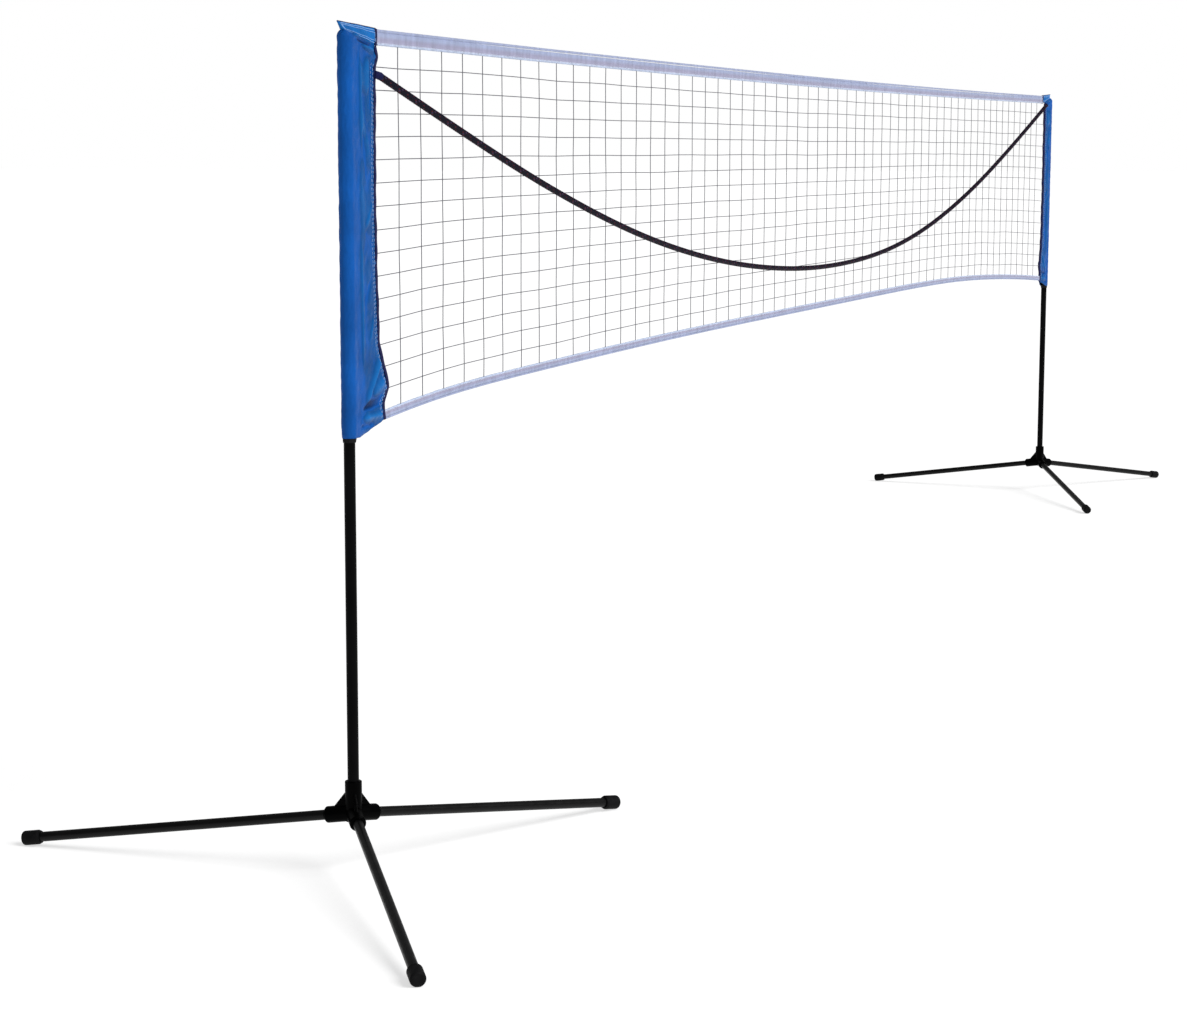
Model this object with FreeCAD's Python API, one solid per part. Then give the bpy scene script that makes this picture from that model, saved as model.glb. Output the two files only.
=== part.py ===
import FreeCAD, Part
import math
import os

# Portable badminton net: two tripod stands with telescoping posts, and a net whose
# end sleeves slip over the posts. Millimetres, +Z up, X along the net. The net plane is
# y = net_y, and the origin is the middle of the standing object's box, on the floor.
# Each stand is first built about its own post axis, with +X pointing at the net.

V = FreeCAD.Vector
UP = V(0, 0, 1)

# --- overall ---------------------------------------------------------------------------
POST_SPACING = 5900.0
SIDES = {"left": 1.0, "right": -1.0}          # sign of the direction towards the net
STAND_TURN = {"left": 96.0, "right": 87.5}    # heading of leg a, degrees from +X
LEG_NAMES = {"a": 0.0, "b": 240.0, "c": 120.0}

# --- legs and feet ---------------------------------------------------------------------
HUB_AXIS_HEIGHT = 113.7     # where the three leg axes meet the post axis
FOOT_AXIS_HEIGHT = 12.0     # leg axis height at the tip of the foot
LEG_REACH = 683.0           # from the post axis to the tip of the foot, along the floor
LEG_RADIUS = 9.5
LEG_WALL = 1.2
FOOT_RADIUS = 14.0
FOOT_LENGTH = 38.0
FOOT_NOSE_WALL = 8.0
FOOT_NOSE_ROUND = 5.0
FOOT_MOUTH_RADIUS = 12.0
FOOT_CONE_LENGTH = 4.5
END_GAP = 0.1               # between a tube's end and the bottom of its socket
RUNNING_GAP = 0.05          # radial gap of parts that slide or turn in each other

# --- hub -------------------------------------------------------------------------------
HUB_TOP = 174.0
HUB_BOTTOM = 98.0
COLLAR_RADIUS = 15.8
COLLAR_LOW = 152.5          # lower end of the plain collar, where the webs begin
BARREL_RADIUS = 15.5
BARREL_LENGTH = 55.0
BARREL_LIP_ROUND = 4.0
MOUTH_RING_RADIUS = 11.4
MOUTH_RING_LENGTH = 1.4
SOCKET_BOTTOM = 17.0        # distance of a leg socket's bottom from the post axis
POST_SOCKET_BOTTOM = 131.0
WEB_REACH = 38.5
WEB_THICKNESS = 7.0
WEB_EDGE_ROUND = 2.2
HUB_EDGE_ROUND = 1.5

# --- post ------------------------------------------------------------------------------
LOWER_POST_RADIUS = 10.6
LOWER_POST_WALL = 1.2
LOWER_POST_TOP = 841.0
UPPER_POST_RADIUS = 8.5
UPPER_POST_WALL = 1.0
POST_OVERLAP = 100.0        # length of upper post inside the lower one at full height
UPPER_POST_TOP = 1523.0
PLUG_HEAD = 22.0
PLUG_SPIGOT = 20.0
CAP_RADIUS = 9.4
CAP_HEAD = 4.0

# --- twist lock on top of the lower post -----------------------------------------------
COLLET_RADIUS = 11.5
COLLET_LENGTH = 25.0
JAW_RADIUS = 10.2
JAW_LENGTH = 14.0
JAW_SLOTS = 4
JAW_SLOT_WIDTH = 1.6
RING_RADIUS = 12.7
RING_BELOW = 23.0           # how far the ring reaches below the top of the lower post
RING_LIP = 2.7
RING_GROOVES = 12
GROOVE_RADIUS = 1.3

# --- net -------------------------------------------------------------------------------
TAPE_TOP = 1548.0           # top edge of the top tape at its two ends
TAPE_SAG = 10.0
TAPE_HEIGHT = 29.0
TAPE_THICKNESS = 6.0
HEAD_CORD_RADIUS = 2.0
HEAD_CORD_DROP = 9.0        # head cord's axis below the tape's top edge
HEAD_CORD_SETBACK = 1.0     # the cord stops this far inside each end of the tape
BOTTOM_TAPE_HEIGHT = 18.0
BOTTOM_TAPE_THICKNESS = 4.0
MESH_THICKNESS = 1.0
MESH_TOP = TAPE_TOP - TAPE_HEIGHT
# Lower edge of the bottom tape between its ends: distance from mid-net, height.
BOTTOM_EDGE = [(-2600, 848), (-2100, 865), (-1300, 879), (0, 889), (900, 894),
               (1566, 890), (2000, 878), (2500, 856)]
BOTTOM_CORNER = {"left": 832.0, "right": 836.0}

# --- sleeve ----------------------------------------------------------------------------
SLEEVE_RADIUS = 14.0
POCKET_RADIUS = 13.2
SLEEVE_BOTTOM = 812.0
POCKET_TOP = 1528.0
SLEEVE_TOP = 1537.0
SEAM_HALF_THICKNESS = 3.0
# Seam edge from top to bottom: distance from the post axis, height.
SEAM = [(112, 1519), (110, 1400), (108, 1250), (111, 1100), (118, 975), (156, 893),
        (134, 866), (140, 831)]
SEAM_SHARE = {"left": 1.0, "right": 0.65}    # how far each sleeve's seam stands out
BAND_REACH = 122.0
BAND_THICKNESS = 7.0
BAND_OUTER_TOP = (-28.0, 1556.0)
BAND_OUTER_LOW = (-13.0, 1536.0)
BAND_INNER_TOP = 1549.0
BAND_INNER_LOW = 1519.0
BINDING_WIDTH = 6.0
BINDING_THICKNESS = 5.0
CUFF_HEIGHT = 8.0
CUFF_STRETCH = 5.0          # how much longer the oval cuff is towards the net
CUFF_WALL = 0.8

# --- hanging cord ----------------------------------------------------------------------
CORD_RADIUS = 6.5
CORD_IN_FRONT = 9.2         # distance of the cord's axis in front of the net plane
CORD_TAB_HALF = 6.5
CORD_TAB_DEPTH = 16.0
# Route from the left tab to the right tab: distance from mid-net, height.
CORD_ROUTE = [(-2832, 1463.3), (-2650, 1412.5), (-2475, 1364.5), (-2295, 1316), (-2120, 1271),
              (-1940, 1228), (-1765, 1189), (-1585, 1152.5), (-1410, 1121), (-1230, 1093),
              (-1050, 1069), (-870, 1049), (-690, 1033), (-515, 1021), (-335, 1012),
              (-155, 1007), (25, 1006), (205, 1009), (380, 1015.5), (560, 1026.5),
              (735, 1042), (915, 1063), (1090, 1088), (1265, 1117.5), (1440, 1150.5),
              (1615, 1187), (1790, 1226.5), (1965, 1269), (2140, 1314), (2315, 1360),
              (2490, 1407.5), (2680, 1460), (2868, 1512.4)]
ARC_SHARE = 0.45            # share of the shorter run that each arc's tangent may use

# --- worked out from the above ---------------------------------------------------------
DROOP = math.atan2(HUB_AXIS_HEIGHT - FOOT_AXIS_HEIGHT, LEG_REACH)
LEG_AXIS_LENGTH = LEG_REACH / math.cos(DROOP)
UPPER_POST_LOW = LOWER_POST_TOP - POST_OVERLAP
HALF_SPAN = POST_SPACING / 2.0
TAPE_HALF = HALF_SPAN - BAND_REACH
HEAD_CORD_HALF = TAPE_HALF - HEAD_CORD_SETBACK
RIGHT_CORNER = 1            # makePipeShell's setting for a mitred corner


# --- small builders --------------------------------------------------------------------
def rod(radius, low, high):
    return Part.makeCylinder(radius, high - low, V(0, 0, low))


def ring(outer, inner, low, high):
    return rod(outer, low, high).cut(rod(inner, low - 1, high + 1))


def polygon_face(points):
    corners = [V(*p) for p in points]
    return Part.Face(Part.makePolygon(corners + corners[:1]))


def turned(profile):
    """Solid of revolution about Z from (radius, height) points."""
    face = polygon_face([(radius, 0, height) for radius, height in profile])
    return face.revolve(V(0, 0, 0), UP, 360)


def upright_plate(outline, thickness):
    """Plate in the XZ plane, centred on y = 0, from (x, z) points."""
    face = polygon_face([(x, -thickness / 2.0, z) for x, z in outline])
    return face.extrude(V(0, thickness, 0))


def along_leg(shape, heading):
    """Move a shape built along +Z from the origin onto a leg's drooping axis."""
    moved = shape.copy()
    moved.rotate(V(0, 0, 0), V(0, 1, 0), 90 + math.degrees(DROOP))
    moved.rotate(V(0, 0, 0), UP, heading)
    moved.translate(V(0, 0, HUB_AXIS_HEIGHT))
    return moved


def round_off(shape, radius, chosen):
    """Fillet the edges for which chosen(edge) is true."""
    return shape.makeFillet(radius, [edge for edge in shape.Edges if chosen(edge)])


def circle_at(height):
    """True for a round edge that lies at the given height."""
    def chosen(edge):
        box = edge.BoundBox
        return abs(box.ZMin - height) < 0.01 and abs(box.ZMax - height) < 0.01
    return chosen


# --- stand: hub, legs, feet ------------------------------------------------------------
def hub_barrel():
    barrel = round_off(rod(BARREL_RADIUS, 0, BARREL_LENGTH), BARREL_LIP_ROUND,
                       circle_at(BARREL_LENGTH))
    return barrel.fuse(rod(MOUTH_RING_RADIUS, BARREL_LENGTH - 1,
                           BARREL_LENGTH + MOUTH_RING_LENGTH))


def hub_web():
    """Upright rib from the collar down to the top of a barrel, pointing along +X."""
    barrel_top = (HUB_AXIS_HEIGHT - WEB_REACH * math.tan(DROOP)
                  + BARREL_RADIUS / math.cos(DROOP))
    outline = [(0, HUB_AXIS_HEIGHT), (0, COLLAR_LOW), (COLLAR_RADIUS - 0.5, COLLAR_LOW),
               (WEB_REACH, barrel_top - 0.5), (WEB_REACH, HUB_AXIS_HEIGHT)]
    web = upright_plate(outline, WEB_THICKNESS)

    def on_slope(edge):
        box = edge.BoundBox
        return box.XLength > 1 and box.ZLength > 1

    return round_off(web, WEB_EDGE_ROUND, on_slope)


def hub(turn):
    collar = rod(COLLAR_RADIUS, HUB_BOTTOM, HUB_TOP)
    collar = round_off(collar, HUB_EDGE_ROUND, circle_at(HUB_TOP))
    collar = round_off(collar, HUB_EDGE_ROUND, circle_at(HUB_BOTTOM))
    barrel = hub_barrel()
    web = hub_web()
    socket = rod(LEG_RADIUS + RUNNING_GAP, SOCKET_BOTTOM, BARREL_LENGTH + 5)
    body = collar
    for offset in LEG_NAMES.values():
        rib = web.copy()
        rib.rotate(V(0, 0, 0), UP, turn + offset)
        body = body.fuse([along_leg(barrel, turn + offset), rib])
    body = body.cut(rod(LOWER_POST_RADIUS + RUNNING_GAP, POST_SOCKET_BOTTOM, HUB_TOP + 1))
    for offset in LEG_NAMES.values():
        body = body.cut(along_leg(socket, turn + offset))
    return body.removeSplitter()


def leg(heading):
    start = SOCKET_BOTTOM + END_GAP
    end = LEG_AXIS_LENGTH - FOOT_NOSE_WALL
    return along_leg(ring(LEG_RADIUS, LEG_RADIUS - LEG_WALL, start, end), heading)


def foot(heading):
    mouth = LEG_AXIS_LENGTH - FOOT_LENGTH
    cap = turned([(0, mouth), (FOOT_MOUTH_RADIUS, mouth), (FOOT_RADIUS, mouth + FOOT_CONE_LENGTH),
                  (FOOT_RADIUS, LEG_AXIS_LENGTH), (0, LEG_AXIS_LENGTH)])
    cap = round_off(cap, FOOT_NOSE_ROUND, circle_at(LEG_AXIS_LENGTH))
    cap = cap.cut(rod(LEG_RADIUS, mouth - 1, LEG_AXIS_LENGTH - FOOT_NOSE_WALL))
    cap = along_leg(cap, heading)
    floor_slab = Part.makeBox(4 * LEG_REACH, 4 * LEG_REACH, 50,
                              V(-2 * LEG_REACH, -2 * LEG_REACH, -50))
    return cap.cut(floor_slab)


# --- stand: telescoping post -----------------------------------------------------------
def lower_post():
    return ring(LOWER_POST_RADIUS, LOWER_POST_RADIUS - LOWER_POST_WALL,
                POST_SOCKET_BOTTOM + END_GAP, LOWER_POST_TOP)


def upper_post():
    return ring(UPPER_POST_RADIUS, UPPER_POST_RADIUS - UPPER_POST_WALL,
                UPPER_POST_LOW, UPPER_POST_TOP)


def guide_plug():
    """Plug pressed into the upper post's lower end; its head runs in the lower post."""
    head = LOWER_POST_RADIUS - LOWER_POST_WALL - RUNNING_GAP
    spigot = UPPER_POST_RADIUS - UPPER_POST_WALL
    low = UPPER_POST_LOW - PLUG_HEAD
    return turned([(0, low), (head - 1, low), (head, low + 1), (head, UPPER_POST_LOW),
                   (spigot, UPPER_POST_LOW), (spigot, UPPER_POST_LOW + PLUG_SPIGOT),
                   (0, UPPER_POST_LOW + PLUG_SPIGOT)])


def post_cap():
    spigot = UPPER_POST_RADIUS - UPPER_POST_WALL
    crown = UPPER_POST_TOP + CAP_HEAD
    return turned([(0, UPPER_POST_TOP - PLUG_SPIGOT), (spigot, UPPER_POST_TOP - PLUG_SPIGOT),
                   (spigot, UPPER_POST_TOP), (CAP_RADIUS, UPPER_POST_TOP),
                   (CAP_RADIUS, crown - 2), (CAP_RADIUS - 2, crown), (0, crown)])


def collet():
    """Sleeve pressed on the lower post, with slotted jaws round the upper post."""
    jaws_bore = UPPER_POST_RADIUS + RUNNING_GAP
    jaws_top = LOWER_POST_TOP + JAW_LENGTH
    body = ring(COLLET_RADIUS, LOWER_POST_RADIUS, LOWER_POST_TOP - COLLET_LENGTH, LOWER_POST_TOP)
    body = body.fuse(ring(COLLET_RADIUS, jaws_bore, LOWER_POST_TOP, LOWER_POST_TOP + 1))
    body = body.fuse(ring(JAW_RADIUS, jaws_bore, LOWER_POST_TOP + 1, jaws_top))
    for index in range(JAW_SLOTS):
        slot = Part.makeBox(COLLET_RADIUS + 2, JAW_SLOT_WIDTH, JAW_LENGTH,
                            V(0, -JAW_SLOT_WIDTH / 2.0, LOWER_POST_TOP + 3))
        slot.rotate(V(0, 0, 0), UP, 45 + index * 360.0 / JAW_SLOTS)
        body = body.cut(slot)
    return body.removeSplitter()


def lock_ring():
    """Ribbed ring that turns on the collet and squeezes its jaws."""
    low = LOWER_POST_TOP - RING_BELOW
    step = LOWER_POST_TOP + 1 + END_GAP
    lip = LOWER_POST_TOP + JAW_LENGTH + END_GAP
    body = rod(RING_RADIUS, low, lip + RING_LIP)
    body = body.cut(rod(COLLET_RADIUS + RUNNING_GAP, low - 1, step))
    body = body.cut(rod(JAW_RADIUS + RUNNING_GAP, step, lip))
    body = body.cut(rod(UPPER_POST_RADIUS + 4 * RUNNING_GAP, lip, lip + RING_LIP + 1))
    for index in range(RING_GROOVES):
        angle = math.radians(index * 360.0 / RING_GROOVES)
        reach = RING_RADIUS + GROOVE_RADIUS * 0.6
        groove = Part.makeCylinder(GROOVE_RADIUS, lip - low - 4,
                                   V(reach * math.cos(angle), reach * math.sin(angle), low + 3))
        body = body.cut(groove)
    return body


# --- net end: sleeve, binding, cuff, tab -------------------------------------------------
def seam_line(side, offset=0.0):
    """The sleeve's seam edge, moved out towards the net by offset."""
    return [(reach * SEAM_SHARE[side] + offset, height) for reach, height in SEAM]


def teardrop(taper_end):
    """Flat outline of a loose sleeve: round behind the post, tapering to the seam."""
    slant = math.asin((SLEEVE_RADIUS - SEAM_HALF_THICKNESS) / taper_end)
    tangent = V(SLEEVE_RADIUS * math.sin(slant), SLEEVE_RADIUS * math.cos(slant), 0)
    tip = V(taper_end, SEAM_HALF_THICKNESS, 0)
    back = V(-SLEEVE_RADIUS, 0, 0)
    mirror = [V(p.x, -p.y, 0) for p in (tangent, tip)]
    edges = [Part.Arc(tangent, back, mirror[0]).toShape(),
             Part.LineSegment(mirror[0], mirror[1]).toShape(),
             Part.LineSegment(mirror[1], tip).toShape(),
             Part.LineSegment(tip, tangent).toShape()]
    return Part.Face(Part.Wire(edges))


def sleeve(side):
    """Loose fabric sleeve with a flat sewn band on top, seam towards +X."""
    seam = seam_line(side)
    taper_end = max(reach for reach, height in seam) + 4
    drop = teardrop(taper_end)
    drop.translate(V(0, 0, SLEEVE_BOTTOM - 10))
    body = drop.extrude(V(0, 0, SLEEVE_TOP - SLEEVE_BOTTOM + 20))
    outline = [(-2 * SLEEVE_RADIUS, SLEEVE_BOTTOM), (1.5 * SLEEVE_RADIUS, SLEEVE_BOTTOM)]
    outline += seam[::-1]
    outline += [(2 * SLEEVE_RADIUS, SLEEVE_TOP), (-2 * SLEEVE_RADIUS, SLEEVE_TOP)]
    body = body.common(upright_plate(outline, 4 * SLEEVE_RADIUS))
    band = upright_plate([BAND_OUTER_LOW, BAND_OUTER_TOP, (BAND_REACH, BAND_INNER_TOP),
                          (BAND_REACH, BAND_INNER_LOW), seam[0]], BAND_THICKNESS)
    body = body.fuse(band)
    body = body.cut(rod(POCKET_RADIUS, SLEEVE_BOTTOM - 20, POCKET_TOP))
    return body.removeSplitter()


def edge_binding(side):
    """Folded tape that covers the raw edge along the seam."""
    inner = seam_line(side)
    outer = seam_line(side, BINDING_WIDTH)
    return upright_plate(inner + outer[::-1], BINDING_THICKNESS)


def oval_face(radius, stretch):
    """Oval in plan: a circle of the given radius drawn out towards +X."""
    a, b = V(0, radius, 0), V(stretch, radius, 0)
    c, d = V(stretch, -radius, 0), V(0, -radius, 0)
    edges = [Part.LineSegment(a, b).toShape(),
             Part.Arc(b, V(stretch + radius, 0, 0), c).toShape(),
             Part.LineSegment(c, d).toShape(),
             Part.Arc(d, V(-radius, 0, 0), a).toShape()]
    return Part.Face(Part.Wire(edges))


def hem_cuff():
    """Elastic cuff round the post, under the sleeve's hem."""
    outer = oval_face(POCKET_RADIUS + CUFF_WALL, CUFF_STRETCH)
    face = outer.cut(oval_face(POCKET_RADIUS, CUFF_STRETCH))
    face.translate(V(0, 0, SLEEVE_BOTTOM - CUFF_HEIGHT))
    return face.extrude(V(0, 0, CUFF_HEIGHT))


def seam_reach_at(side, height):
    """Distance of the seam edge from the post axis at a height."""
    line = seam_line(side)
    for (reach_a, high), (reach_b, low) in zip(line, line[1:]):
        if low <= height <= high:
            return reach_a + (reach_b - reach_a) * (high - height) / (high - low)
    return line[0][0]


def cord_tab(side, cord_end, cord_next):
    """Webbing tab at the seam; its face towards the net is square to the cord."""
    run = V(cord_next[0] - cord_end[0], 0, cord_next[1] - cord_end[1])
    run.normalize()
    across = V(-run.z, 0, run.x) * CORD_TAB_HALF
    top = V(cord_end[0], 0, cord_end[1]) + across
    low = V(cord_end[0], 0, cord_end[1]) - across
    outline = [(seam_reach_at(side, top.z), top.z), (top.x, top.z), (low.x, low.z),
               (seam_reach_at(side, low.z), low.z)]
    tab = upright_plate(outline, CORD_TAB_DEPTH)
    tab.translate(V(0, -CORD_IN_FRONT, 0))
    clear = upright_plate([(0, low.z - 5), (0, top.z + 5), (300, top.z + 5), (300, low.z - 5)],
                          BINDING_THICKNESS)
    return tab.cut(clear)


# --- net: tapes, mesh, cords ------------------------------------------------------------
def sagging_curve(end_height):
    """Parabola across the top tape's length, with the tape's sag."""
    curve = Part.BezierCurve()
    curve.setPoles([V(-TAPE_HALF, 0, end_height), V(0, 0, end_height - 2 * TAPE_SAG),
                    V(TAPE_HALF, 0, end_height)])
    return curve.toShape()


def thick_face(edges, thickness):
    face = Part.Face(Part.Wire(Part.__sortEdges__(edges)))
    face.translate(V(0, -thickness / 2.0, 0))
    return face.extrude(V(0, thickness, 0))


def line(x1, z1, x2, z2):
    return Part.LineSegment(V(x1, 0, z1), V(x2, 0, z2)).toShape()


def head_cord():
    """Line inside the top tape, pulled down a little at mid-net."""
    end_height = TAPE_TOP - HEAD_CORD_DROP
    start = V(-HEAD_CORD_HALF, 0, end_height)
    middle = V(0, 0, end_height - TAPE_SAG)
    path = Part.makePolygon([start, middle, V(HEAD_CORD_HALF, 0, end_height)])
    circle = Part.Wire(Part.makeCircle(HEAD_CORD_RADIUS, start, middle - start))
    return path.makePipeShell([circle], True, False, RIGHT_CORNER)


def top_tape(cord):
    low = TAPE_TOP - TAPE_HEIGHT
    body = thick_face([sagging_curve(TAPE_TOP), line(TAPE_HALF, TAPE_TOP, TAPE_HALF, low),
                       sagging_curve(low), line(-TAPE_HALF, low, -TAPE_HALF, TAPE_TOP)],
                      TAPE_THICKNESS)
    return body.cut(cord)


def mesh_corner(side, height):
    """Point on a binding's edge towards the net, from mid-net."""
    reach = seam_reach_at(side, height) + BINDING_WIDTH
    return SIDES[side] * (reach - HALF_SPAN), height


def bottom_corner(side, lift):
    return mesh_corner(side, BOTTOM_CORNER[side] + lift)


def bottom_spline(lift):
    points = [bottom_corner("left", lift)]
    points += [(x, z + lift) for x, z in BOTTOM_EDGE]
    points.append(bottom_corner("right", lift))
    curve = Part.BSplineCurve()
    curve.interpolate([V(x, 0, z) for x, z in points])
    return curve.toShape()


def bottom_tape():
    edges = [bottom_spline(0), bottom_spline(BOTTOM_TAPE_HEIGHT)]
    for side in SIDES:
        edges.append(line(*bottom_corner(side, 0), *bottom_corner(side, BOTTOM_TAPE_HEIGHT)))
    return thick_face(edges, BOTTOM_TAPE_THICKNESS)


def mesh_side(side):
    """The mesh's edge along a binding, from mid-net, top to bottom."""
    low = BOTTOM_CORNER[side] + BOTTOM_TAPE_HEIGHT
    heights = [MESH_TOP] + [height for reach, height in SEAM if low < height < MESH_TOP]
    return [mesh_corner(side, height) for height in heights + [low]]


def net_mesh():
    edges = [sagging_curve(MESH_TOP), bottom_spline(BOTTOM_TAPE_HEIGHT)]
    for side, sign in SIDES.items():
        corners = mesh_side(side)
        edges.append(line(-sign * TAPE_HALF, MESH_TOP, *corners[0]))
        edges += [line(*a, *b) for a, b in zip(corners, corners[1:])]
    return thick_face(edges, MESH_THICKNESS)


def rounded_path(points):
    """Straight runs joined by tangent arcs, each as large as its two runs allow."""
    edges = []
    radii = []
    start = points[0]
    for before, corner, after in zip(points, points[1:], points[2:]):
        back, ahead = before - corner, after - corner
        half_turn = (math.pi - back.getAngle(ahead)) / 2.0
        reach = ARC_SHARE * min(back.Length, ahead.Length)
        radius = reach / math.tan(half_turn)
        arc_start = corner + back.normalize() * reach
        arc_end = corner + ahead.normalize() * reach
        bisector = (back + ahead).normalize()
        middle = corner + bisector * (radius / math.cos(half_turn) - radius)
        edges.append(Part.LineSegment(start, arc_start).toShape())
        edges.append(Part.Arc(arc_start, middle, arc_end).toShape())
        radii.append(radius)
        start = arc_end
    edges.append(Part.LineSegment(start, points[-1]).toShape())
    print("cord arc radii, mm:", [round(radius) for radius in radii])
    return Part.Wire(edges)


def hanging_cord():
    route = [V(x, -CORD_IN_FRONT, z) for x, z in CORD_ROUTE]
    path = rounded_path(route)
    circle = Part.Wire(Part.makeCircle(CORD_RADIUS, route[0], route[1] - route[0]))
    tube = path.makePipeShell([circle], True, False)
    expected = math.pi * CORD_RADIUS ** 2 * path.Length
    print("cord length %.1f mm, volume %.0f, section x length %.0f"
          % (path.Length, tube.Volume, expected))
    return tube


# --- assembly ----------------------------------------------------------------------------
def stand_nodes(side):
    """One stand about its own post axis, in row directions."""
    turn = STAND_TURN[side]
    nodes = {"hub": hub(turn), "lower_post": lower_post(), "upper_post": upper_post(),
             "guide_plug": guide_plug(), "post_cap": post_cap(), "collet": collet(),
             "lock_ring": lock_ring()}
    for name, offset in LEG_NAMES.items():
        nodes["leg_" + name] = leg(turn + offset)
        nodes["foot_" + name] = foot(turn + offset)
    return nodes


def net_end_nodes(side):
    """One end of the net about the post axis, with +X towards the net."""
    sign = SIDES[side]
    ends = CORD_ROUTE[:2] if side == "left" else CORD_ROUTE[:-3:-1]
    local = [(HALF_SPAN + sign * x, z) for x, z in ends]
    return {"sleeve": sleeve(side), "edge_binding": edge_binding(side),
            "hem_cuff": hem_cuff(), "cord_tab": cord_tab(side, *local)}


def build():
    nodes = {}
    for side, sign in SIDES.items():
        post = V(-sign * HALF_SPAN, 0, 0)
        for name, shape in stand_nodes(side).items():
            nodes[side + "_" + name] = shape.translated(post)
        for name, shape in net_end_nodes(side).items():
            facing = shape if sign > 0 else shape.mirror(V(0, 0, 0), V(1, 0, 0))
            nodes[side + "_" + name] = facing.translated(post)
    cord = head_cord()
    nodes["head_cord"] = cord
    nodes["top_tape"] = top_tape(cord)
    nodes["bottom_tape"] = bottom_tape()
    nodes["net_mesh"] = net_mesh()
    nodes["hanging_cord"] = hanging_cord()
    return nodes


def box_middle(nodes):
    """Middle of the box in X and Y, so that the origin can be put there."""
    box = Part.makeCompound(list(nodes.values())).optimalBoundingBox(False, False)
    return V((box.XMin + box.XMax) / 2.0, (box.YMin + box.YMax) / 2.0, 0)


def main():
    nodes = build()
    middle = box_middle(nodes)
    print("post axes at x = %.3f and %.3f, net plane at y = %.3f"
          % (-HALF_SPAN - middle.x, HALF_SPAN - middle.x, -middle.y))
    os.makedirs("parts", exist_ok=True)
    for name, shape in nodes.items():
        placed = shape.translated(middle * -1)
        placed.exportStep("parts/%s.step" % name)


if __name__ == "__main__":
    main()
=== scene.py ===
"""Looks of a portable badminton net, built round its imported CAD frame. Lengths are in metres."""

import math

import bpy
import numpy as np
from mathutils import Matrix, Vector, noise
from mathutils.bvhtree import BVHTree


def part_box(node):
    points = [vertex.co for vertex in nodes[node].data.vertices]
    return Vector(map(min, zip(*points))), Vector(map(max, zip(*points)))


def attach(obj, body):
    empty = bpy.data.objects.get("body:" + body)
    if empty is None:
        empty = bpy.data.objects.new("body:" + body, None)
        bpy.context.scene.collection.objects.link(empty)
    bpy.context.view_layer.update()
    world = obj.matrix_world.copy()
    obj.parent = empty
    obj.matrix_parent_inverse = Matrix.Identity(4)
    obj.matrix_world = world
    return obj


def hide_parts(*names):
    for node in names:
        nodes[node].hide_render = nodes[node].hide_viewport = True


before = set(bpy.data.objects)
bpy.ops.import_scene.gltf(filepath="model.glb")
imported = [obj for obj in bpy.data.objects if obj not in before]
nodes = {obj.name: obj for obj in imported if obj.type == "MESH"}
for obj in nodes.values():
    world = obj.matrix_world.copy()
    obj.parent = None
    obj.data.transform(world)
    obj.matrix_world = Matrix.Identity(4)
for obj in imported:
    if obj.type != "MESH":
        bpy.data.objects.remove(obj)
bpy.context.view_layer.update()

# --- camera and light ------------------------------------------------------------------
CAMERA_LENS = 77.26            # mm on a 36 mm sensor
CAMERA_FROM_LEFT_POST = Vector((-4.0955, -2.1400, 1.3238))
CAMERA_TILT = 82.15            # degrees up from straight down
CAMERA_HEADING = -67.92
CAMERA_ROLL = 0.09
SKY_LIGHT = 0.26               # strength with which the white surroundings light the net
SUN_STRENGTH = 2.9
SUN_FROM = (-0.05, -0.74, 0.67)
SUN_SPREAD = 35.0              # degrees, for soft shadows
FLOOR_SIZE = 400.0
FLOOR_GLOW = 0.62              # keeps the floor as white as the surroundings

# --- sleeve ----------------------------------------------------------------------------
SIDES = {"left": 1.0, "right": -1.0}  # direction from each post towards mid-net
SLEEVE_RADIUS = 0.0142
SLEEVE_LOW_RADIUS = 0.0131
SLEEVE_WALL = 0.0008
SLEEVE_HEM = 0.8115            # hem height at the post
HEM_TAPER = (0.8115, 0.8190)   # the tube narrows below the twist ring
SLEEVE_SHOULDER = 0.0140       # height over which the tube closes at its top
SEAM_HALF = 0.0022
# A gather of the near seam, just above the end of the cord.
SEAM_BULGE = {"left": 0.0100, "right": 0.0}
SEAM_BULGE_AT = 1.4975
SEAM_BULGE_HALF = 0.0125
SLEEVE_COLUMNS = 148
# Rows of the cloth: share of its height where each run of rows ends, and rows in the run.
SLEEVE_ROW_RUNS = ((0.19, 64), (0.90, 126), (1.0, 58))
BAND_OUTER = ((-0.0080, 1.5425), (-0.0280, 1.5560))  # low and high corner: from post, height
BAND_INNER = ((0.1215, 1.5195), (0.1215, 1.5490))
BAND_HALF = 0.0030
BAND_OVERLAP = 0.0018          # how far the band reaches down over the cloth
SHOULDER = (-0.0142, 1.5355)   # where the round tube's back ends: from post, height
BINDING_IN = 0.0070            # binding's width on the cloth, from the seam
BINDING_OUT = 0.0050           # how far it stands past the seam
BINDING_WALL = 0.0011
CUFF_FOOT, CUFF_TOP = 0.8035, 0.8158
CUFF_FOOT_RADIUS, CUFF_TOP_RADIUS = 0.0117, 0.0123
CUFF_STRETCH = 0.0075          # how far the cuff's top leans to the panel
STITCH_ROWS = (0.0110, 0.0180)  # distance of each stitch row from the seam
SEAM_STITCH = (0.0078, 0.0050, 0.00045)  # pitch, length and radius
SEAM_FLAT, SEAM_FADE = 0.010, 0.014  # flat strip beside the seam; folds rise after it
CRUMPLE_HEIGHT, CRUMPLE_SIZE = 0.0020, 0.034
FINE_CRUMPLE_HEIGHT, FINE_CRUMPLE_SIZE = 0.0008, 0.013
PUCKER_HEIGHT, PUCKER_PITCH, PUCKER_REACH = 0.0005, 0.0135, 0.008
CLOTH_HALF_GAP = 0.0012        # least distance of a face from the net's plane
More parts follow.
